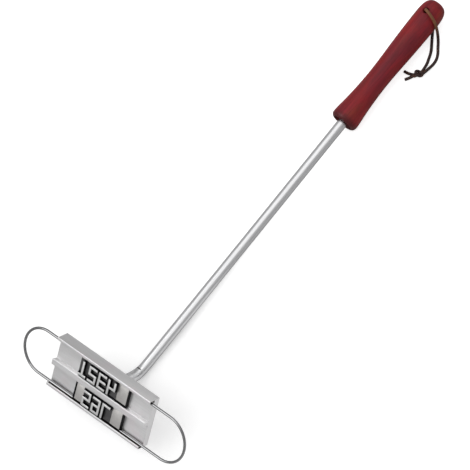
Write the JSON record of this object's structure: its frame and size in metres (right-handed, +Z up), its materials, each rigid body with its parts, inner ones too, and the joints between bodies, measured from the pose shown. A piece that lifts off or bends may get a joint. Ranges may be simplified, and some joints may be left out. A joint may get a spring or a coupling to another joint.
{
  "type": "branding iron",
  "caption": "Barbecue branding iron: aluminium head with two rows of changeable type held by spring wires, bent steel stem, turned wooden handle with a leather lace.",
  "frame": {"origin": "centre of the footprint of the iron without its lace, on the surface it lies on", "axes": "+Y from the head to the handle's butt, +X to the right of the head seen from in front of its face, +Z up"},
  "size_m": [0.1738, 0.4371, 0.0538],
  "materials": {
    "head_aluminium": "satin, extruded, fine lines along its length",
    "type_aluminium": "satin, cast",
    "wire_steel": "polished spring wire",
    "stem_steel": "polished tube",
    "fastener_steel": "plated",
    "handle_wood": "stained red brown and varnished",
    "lace_leather": "dark, smooth"
  },
  "bodies": {
    "iron": {"head_extrusion": "head_aluminium", "stem_tube": "stem_steel", "head_stud": "fastener_steel", "jam_nut": "fastener_steel", "lock_washer": "fastener_steel", "handle": "handle_wood", "lace_upper_strand": "lace_leather", "lace_lower_strand": "lace_leather", "lace_in_hole": "lace_leather", "lace_knot": "lace_leather", "lace_upper_tail": "lace_leather", "lace_lower_tail": "lace_leather"},
    "left_retaining_wire": {"left_retaining_wire": "wire_steel"},
    "right_retaining_wire": {"right_retaining_wire": "wire_steel"},
    "upper_type_1": {"upper_type_1": "type_aluminium"},
    "upper_type_2": {"upper_type_2": "type_aluminium"},
    "upper_type_3": {"upper_type_3": "type_aluminium"},
    "upper_type_4": {"upper_type_4": "type_aluminium"},
    "upper_blank_5": {"upper_blank_5": "type_aluminium"},
    "lower_blank_1": {"lower_blank_1": "type_aluminium"},
    "lower_type_2": {"lower_type_2": "type_aluminium"},
    "lower_type_3": {"lower_type_3": "type_aluminium"},
    "lower_type_4": {"lower_type_4": "type_aluminium"},
    "lower_blank_5": {"lower_blank_5": "type_aluminium"}
  },
  "joints": [
    {"name": "left_wire_pull", "type": "slide", "parent": "iron", "child": "left_retaining_wire", "axis": [-1, 0, 0], "range_m": [0, 0.0531]},
    {"name": "right_wire_pull", "type": "slide", "parent": "iron", "child": "right_retaining_wire", "axis": [1, 0, 0], "range_m": [0, 0.0449]},
    {"name": "upper_type_1_slide", "type": "slide", "parent": "iron", "child": "upper_type_1", "axis": [1, 0, 0], "range_m": [-0.026, 0.003]},
    {"name": "upper_type_2_slide", "type": "slide", "parent": "upper_type_1", "child": "upper_type_2", "axis": [1, 0, 0], "range_m": [0, 0.0048]},
    {"name": "upper_type_3_slide", "type": "slide", "parent": "upper_type_2", "child": "upper_type_3", "axis": [1, 0, 0], "range_m": [0, 0.0048]},
    {"name": "upper_type_4_slide", "type": "slide", "parent": "upper_type_3", "child": "upper_type_4", "axis": [1, 0, 0], "range_m": [0, 0.0048]},
    {"name": "upper_blank_5_slide", "type": "slide", "parent": "upper_type_4", "child": "upper_blank_5", "axis": [1, 0, 0], "range_m": [0, 0.0048]},
    {"name": "lower_blank_1_slide", "type": "slide", "parent": "iron", "child": "lower_blank_1", "axis": [1, 0, 0], "range_m": [-0.026, 0.003]},
    {"name": "lower_type_2_slide", "type": "slide", "parent": "lower_blank_1", "child": "lower_type_2", "axis": [1, 0, 0], "range_m": [0, 0.0048]},
    {"name": "lower_type_3_slide", "type": "slide", "parent": "lower_type_2", "child": "lower_type_3", "axis": [1, 0, 0], "range_m": [0, 0.0048]},
    {"name": "lower_type_4_slide", "type": "slide", "parent": "lower_type_3", "child": "lower_type_4", "axis": [1, 0, 0], "range_m": [0, 0.0048]},
    {"name": "lower_blank_5_slide", "type": "slide", "parent": "lower_type_4", "child": "lower_blank_5", "axis": [1, 0, 0], "range_m": [0, 0.0048]}
  ]
}
